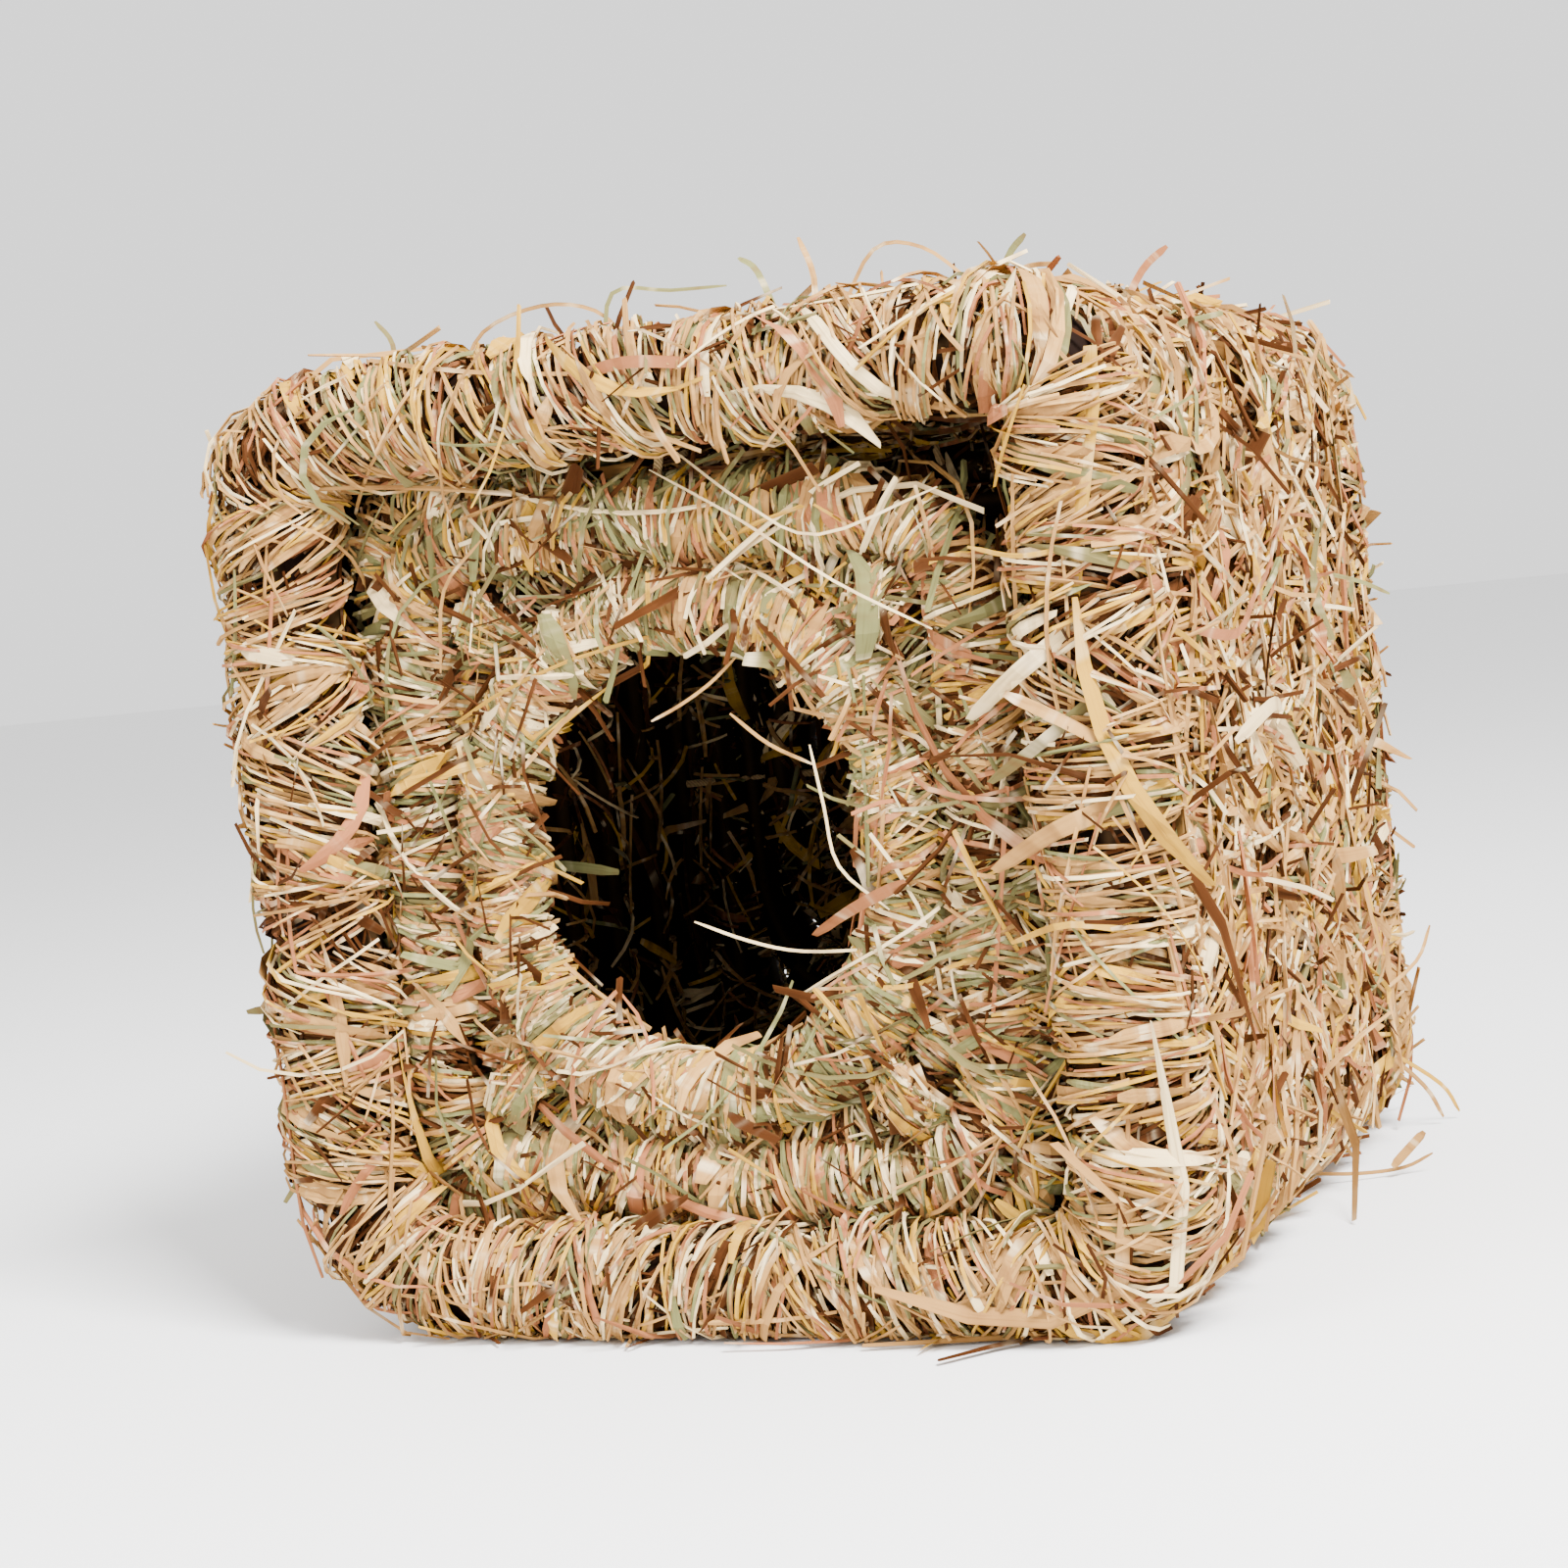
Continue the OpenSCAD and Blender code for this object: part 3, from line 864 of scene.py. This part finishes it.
# %% Lining
LINING = {**WALL_HAY, "Facing": math.pi, "Facing spread": 0.9, "Core inset": 3 * MM}
for number, name in enumerate(shell_nodes[1:-1]):
    pad(name + "_lining", shell_path(name), True, slot="hay_rope",
        **{**LINING, "Stems": 260, "Seed": 91 + number, "Rope radius": ROPE_R})
for number in range(len(rear_counts)):
    pad("rear_lining_%d" % number, panel_path("rear_panel_ring", 0.0, number), True,
        **{**LINING, "Facing": -REAR, "Stems": 360 - 80 * number, "Seed": 101 + number,
           "Rope radius": PANEL_ROPE_R})

# %% [markdown]
# ## Stray stems
#
# The nest's outline is never clean: thin stems and a few broad blades stand off the ropes, and
# some reach across the doorway.  These are seen one by one, so each gets its own bends, listed
# below.  A short function runs a three-sided bar through them, on the same map as the other hay.

# %% A stem through a few bends
CHANCE = random.Random(5)


def smooth_run(bends, steps=4):
    """Points on a smooth curve through the bends."""
    ends = [bends[0] * 2 - bends[1], *bends, bends[-1] * 2 - bends[-2]]
    run = []
    for a, b, c, d in zip(ends, ends[1:], ends[2:], ends[3:]):
        for step in range(steps):
            t = step / steps
            run.append(0.5 * (2 * b + (c - a) * t + (2 * a - 5 * b + 4 * c - d) * t * t
                              + (3 * b - a - 3 * c + d) * t ** 3))
    return run + [bends[-1]]


def add_stem(mesh, kind, half_width, bends, roll):
    """Adds one stem or blade to a bmesh, with its place on the map."""
    map_layer = mesh.loops.layers.uv[HAY_MAP]
    run = smooth_run([Vector(b) * MM for b in bends])
    first, count = TONES[kind]
    strip_x = (first + CHANCE.randrange(count) + STRIP_EDGE) / STRIPS
    start_y = 0.04 + 0.6 * CHANCE.random()
    thick = min(half_width * MM * 0.6, 0.32 * MM)
    rings = []
    for number, spot in enumerate(run):
        share = number / (len(run) - 1)
        way = (run[min(number + 1, len(run) - 1)] - run[max(number - 1, 0)]).normalized()
        side = way.cross(Vector((math.cos(roll), -1.0, math.sin(roll)))).normalized()
        lift = way.cross(side)
        wide = half_width * MM * (1.0 - 0.5 * abs(2 * share - 1) ** 8)
        rings.append([mesh.verts.new(spot + side * wide), mesh.verts.new(spot - side * wide),
                      mesh.verts.new(spot + lift * thick)])
    for number, (one, two) in enumerate(zip(rings, rings[1:])):
        for k in range(3):
            face = mesh.faces.new([one[k], one[(k + 1) % 3], two[(k + 1) % 3], two[k]])
            for loop, (u, v) in zip(face.loops, ((k, 0), (k + 1, 0), (k + 1, 1), (k, 1))):
                height = start_y + 0.3 * (number + v) / len(run)
                loop[map_layer].uv = (strip_x + 0.23 * u / STRIPS, height)
    for ring, turned in ((rings[0], True), (rings[-1], False)):
        face = mesh.faces.new(ring[::-1] if turned else ring)
        for k, loop in enumerate(face.loops):
            loop[map_layer].uv = (strip_x + 0.2 * k / STRIPS, start_y + 0.01 * (k == 1))


def stem_piece(name, stems):
    """One mesh of many stems, riding on the house."""
    mesh = bmesh.new()
    mesh.loops.layers.uv.new(HAY_MAP)
    for kind, half_width, bends in stems:
        add_stem(mesh, kind, half_width, bends, CHANCE.uniform(-0.6, 0.6))
    bmesh.ops.recalc_face_normals(mesh, faces=mesh.faces)
    data = bpy.data.meshes.new(name)
    mesh.to_mesh(data)
    data.materials.append(hay)
    piece = bpy.data.objects.new(name, data)
    bpy.context.scene.collection.objects.link(piece)
    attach(piece, "root")
    print("%s: %d stems" % (name, len(stems)))


# %% Stems seen one by one: kind, half width, and bends in millimetres
OUTLINE_STEMS = [
    ("straw", 0.7, [(38, -99, 212), (39, -98, 224), (36, -97, 233)]),
    ("green", 0.5, [(-13, -94, 213), (-11, -91, 228), (2, -89, 227), (16, -91, 226)]),
    ("straw", 0.45, [(-50, -93, 213), (-44, -90, 224), (-30, -88, 228), (-16, -90, 225),
                     (-6, -93, 216)]),
    ("green", 0.6, [(-64, -97, 214), (-66, -92, 224), (-71, -90, 230)]),
    ("green", 0.8, [(25, -84, 216), (19, -80, 229), (14, -78, 233)]),
    ("straw", 0.45, [(38, -84, 216), (46, -80, 230), (57, -80, 229), (68, -82, 220)]),
    ("green", 0.8, [(66, -64, 214), (69, -60, 226), (73, -58, 231)]),
    ("pink", 0.9, [(76, -6, 213), (82, 0, 225), (88, 2, 230)]),
    ("straw", 0.6, [(50, -40, 216), (62, -32, 226), (70, -26, 227)]),
    ("green", 1.2, [(-97, -94, 82), (-110, -97, 77), (-121, -99, 76)]),
    ("straw", 0.45, [(-101, -92, 137), (-117, -92, 133), (-120, -92, 119), (-104, -94, 107)]),
    ("straw", 0.6, [(102, 82, 26), (110, 97, 12), (113, 104, 2)]),
    ("yellow", 0.6, [(103, 90, 23), (113, 104, 11), (116, 111, 2)]),
    ("green", 0.6, [(102, 56, 151), (113, 60, 147), (120, 62, 143)]),
    ("straw", 0.5, [(102, 84, 38), (112, 92, 46), (116, 94, 55)]),
    ("straw", 0.5, [(92, 30, 4), (104, 38, 2), (114, 44, 2), (121, 46, 5)]),
    ("straw", 1.4, [(112, 40, 3), (116, 42, 7), (120, 43, 11)]),
]
DOORWAY_STEMS = [
    ("cream", 0.34, [(36, -92, 82), (20, -97, 83), (8, -98, 86), (-4, -99, 91)]),
    ("straw", 0.36, [(9, -91, 147), (4, -95, 142), (-3, -96, 138), (-10, -97, 135)]),
    ("straw", 0.4, [(7, -93, 135), (17, -97, 128), (27, -98, 123)]),
    ("cream", 0.34, [(26, -96, 127), (29, -99, 114), (31, -99, 101), (41, -98, 91)]),
    ("green", 1.3, [(-80, -48, 96), (-60, -57, 101), (-40, -61, 99)]),
    ("cream", 0.34, [(-4, -97, 189), (18, -102, 176), (38, -102, 161), (57, -98, 149)]),
    ("cream", 0.34, [(2, -98, 193), (20, -102, 179), (36, -103, 171), (62, -100, 178)]),
    ("straw", 0.4, [(-60, -98, 150), (-54, -103, 168), (-44, -102, 178)]),
    ("pink", 1.5, [(22, -95, 86), (34, -101, 92), (46, -100, 97)]),
]
ROLL_BLADES = [
    ("pink", 1.3, [(-16, -109, 209), (0, -113, 211), (16, -111, 209)]),
    ("cream", 2.0, [(66, -106, 130), (80, -114, 139), (96, -109, 150)]),
    ("green", 1.6, [(70, -109, 117), (84, -114, 125), (98, -109, 135)]),
    ("straw", 1.3, [(76, -112, 135), (88, -115, 129), (101, -111, 120)]),
    ("straw", 2.1, [(69, -109, 99), (85, -114, 107), (101, -109, 112)]),
    ("yellow", 0.5, [(70, -108, 165), (84, -115, 162), (99, -110, 164)]),
    ("yellow", 0.7, [(71, -109, 84), (86, -115, 88), (102, -109, 84)]),
    ("pink", 1.2, [(108, -80, 143), (112, -62, 141), (112, -44, 148), (110, -20, 153)]),
    ("cream", 1.5, [(109, -60, 118), (113, -42, 124), (110, -20, 122)]),
]
stem_piece("outline_stems", OUTLINE_STEMS)
stem_piece("doorway_stems", DOORWAY_STEMS)
stem_piece("roll_blades", ROLL_BLADES)

# %% [markdown]
# ## Wire and twine
#
# The wires inside the ropes and the twine that sews them keep the frame's own shapes.  They get a
# finish each: drawn steel wire with a fine grain, and twisted grass twine.  The twine's many small
# loops are heavy, so it is shown by a copy with fewer triangles.

# %% Wire and twine
wire, tree, surface = new_material("drawn steel wire")
local = node(tree, "ShaderNodeTexCoord", out="Object")
grain = noise(tree, local, 900.0, 3.0)
feed(tree, surface, "Base Color", mixed(tree, grain, colour(120, 122, 125), colour(190, 192, 195)))
feed(tree, surface, "Roughness", 0.25 + grain * 0.3)
surface.inputs["Metallic"].default_value = 1.0

twine, tree, surface = new_material("grass twine")
local = node(tree, "ShaderNodeTexCoord", out="Object")
fibres = noise(tree, local, 1400.0, 4.0)
lay = ((local.part("X") + local.part("Y") + local.part("Z")) * 5200.0).sine() * 0.5 + 0.5
feed(tree, surface, "Base Color",
     mixed(tree, fibres * 0.6 + lay * 0.4, colour(138, 104, 62), colour(206, 172, 118)))
feed(tree, surface, "Roughness", 0.65 + fibres * 0.25)
feed(tree, surface, "Normal", node(tree, "ShaderNodeBump", {},
     {"Strength": 0.6, "Distance": 0.3 * MM, "Height": lay}))
FINISHES = {"wire": wire, "twine": twine}
TWINE_SHARE = 0.16  # how much of its triangles the twine keeps: it is thin, and mostly under hay


def lightened(node_name, share):
    """The frame's own piece with fewer triangles, as a plain mesh that stands for it."""
    heavy = bpy.data.objects.new("heavy", frame["nodes"][node_name].data.copy())
    bpy.context.scene.collection.objects.link(heavy)
    heavy.modifiers.new("fewer", "DECIMATE").ratio = share
    bpy.context.view_layer.update()
    data = bpy.data.meshes.new_from_object(heavy.evaluated_get(
        bpy.context.evaluated_depsgraph_get()))
    bpy.data.objects.remove(heavy)
    data.shade_smooth()
    piece = bpy.data.objects.new(node_name + "_light", data)
    bpy.context.scene.collection.objects.link(piece)
    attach(piece, "root")
    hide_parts(node_name)
    return piece


for part in frame["record"]["subparts"]:
    if part["material_slot"] in FINISHES:
        bar = frame["nodes"][part["node"]]
        if part["material_slot"] == "twine":
            bar = lightened(part["node"], TWINE_SHARE)
        bar.data.materials.clear()
        bar.data.materials.append(FINISHES[part["material_slot"]])
        print("%s: %d faces" % (bar.name, len(bar.data.polygons)))

# %% [markdown]
# ## Floor, light and camera
#
# A pale floor, one soft light from the upper right and a weaker one from the left.  The camera
# stands to the right of the front, a little above the middle, and is tipped to one side.

# %% Floor and lights
def plain_material(name, shade_value):
    made, tree, surface = new_material(name)
    surface.inputs["Base Color"].default_value = (shade_value, shade_value, shade_value, 1.0)
    surface.inputs["Roughness"].default_value = 0.9
    return made


bpy.ops.mesh.primitive_plane_add(size=12.0, location=(0, 0, 0))
floor = bpy.context.object
floor.name = "floor"
floor.data.materials.append(plain_material("pale floor", 0.86))

world = bpy.data.worlds.new("studio")
bpy.context.scene.world = world
world.use_nodes = True
world.node_tree.nodes["Background"].inputs["Color"].default_value = (1.0, 1.0, 1.0, 1.0)
world.node_tree.nodes["Background"].inputs["Strength"].default_value = 1.55


def soft_light(name, place, aim, size, power):
    lamp = bpy.data.lights.new(name, "AREA")
    lamp.size, lamp.energy = size, power
    made = bpy.data.objects.new(name, lamp)
    made.location = place
    made.rotation_euler = (Vector(aim) - Vector(place)).to_track_quat("-Z", "Y").to_euler()
    bpy.context.scene.collection.objects.link(made)


HOUSE = Vector((0, 0, 0.11))
soft_light("key", (0.62, -0.55, 1.0), HOUSE, 0.4, 70.0)
soft_light("fill", (-0.5, -1.1, 0.7), HOUSE, 0.6, 13.0)
print("lights are up")

# %% Camera
AZIMUTH, ELEVATION, ROLL = (math.radians(v) for v in (23.26, 3.88, -6.13))
house_h = CAD_BOX[1][2] - CAD_BOX[0][2]
AIM = Vector((-0.1014 * house_h, 0, 0.5138 * house_h))
DISTANCE = 3.364 * house_h
LENS = 67.5

away = Vector((math.sin(AZIMUTH) * math.cos(ELEVATION), -math.cos(AZIMUTH) * math.cos(ELEVATION),
               math.sin(ELEVATION)))
camera_data = bpy.data.cameras.new("camera")
camera_data.lens, camera_data.sensor_width = LENS, 36.0
camera = bpy.data.objects.new("camera", camera_data)
bpy.context.scene.collection.objects.link(camera)
level = away.to_track_quat("Z", "Y").to_matrix().to_4x4()
camera.matrix_world = (Matrix.Translation(AIM + away * DISTANCE) @ level
                       @ Matrix.Rotation(ROLL, 4, "Z"))
bpy.context.scene.camera = camera
print("camera %.0f mm from the house" % (DISTANCE / MM))
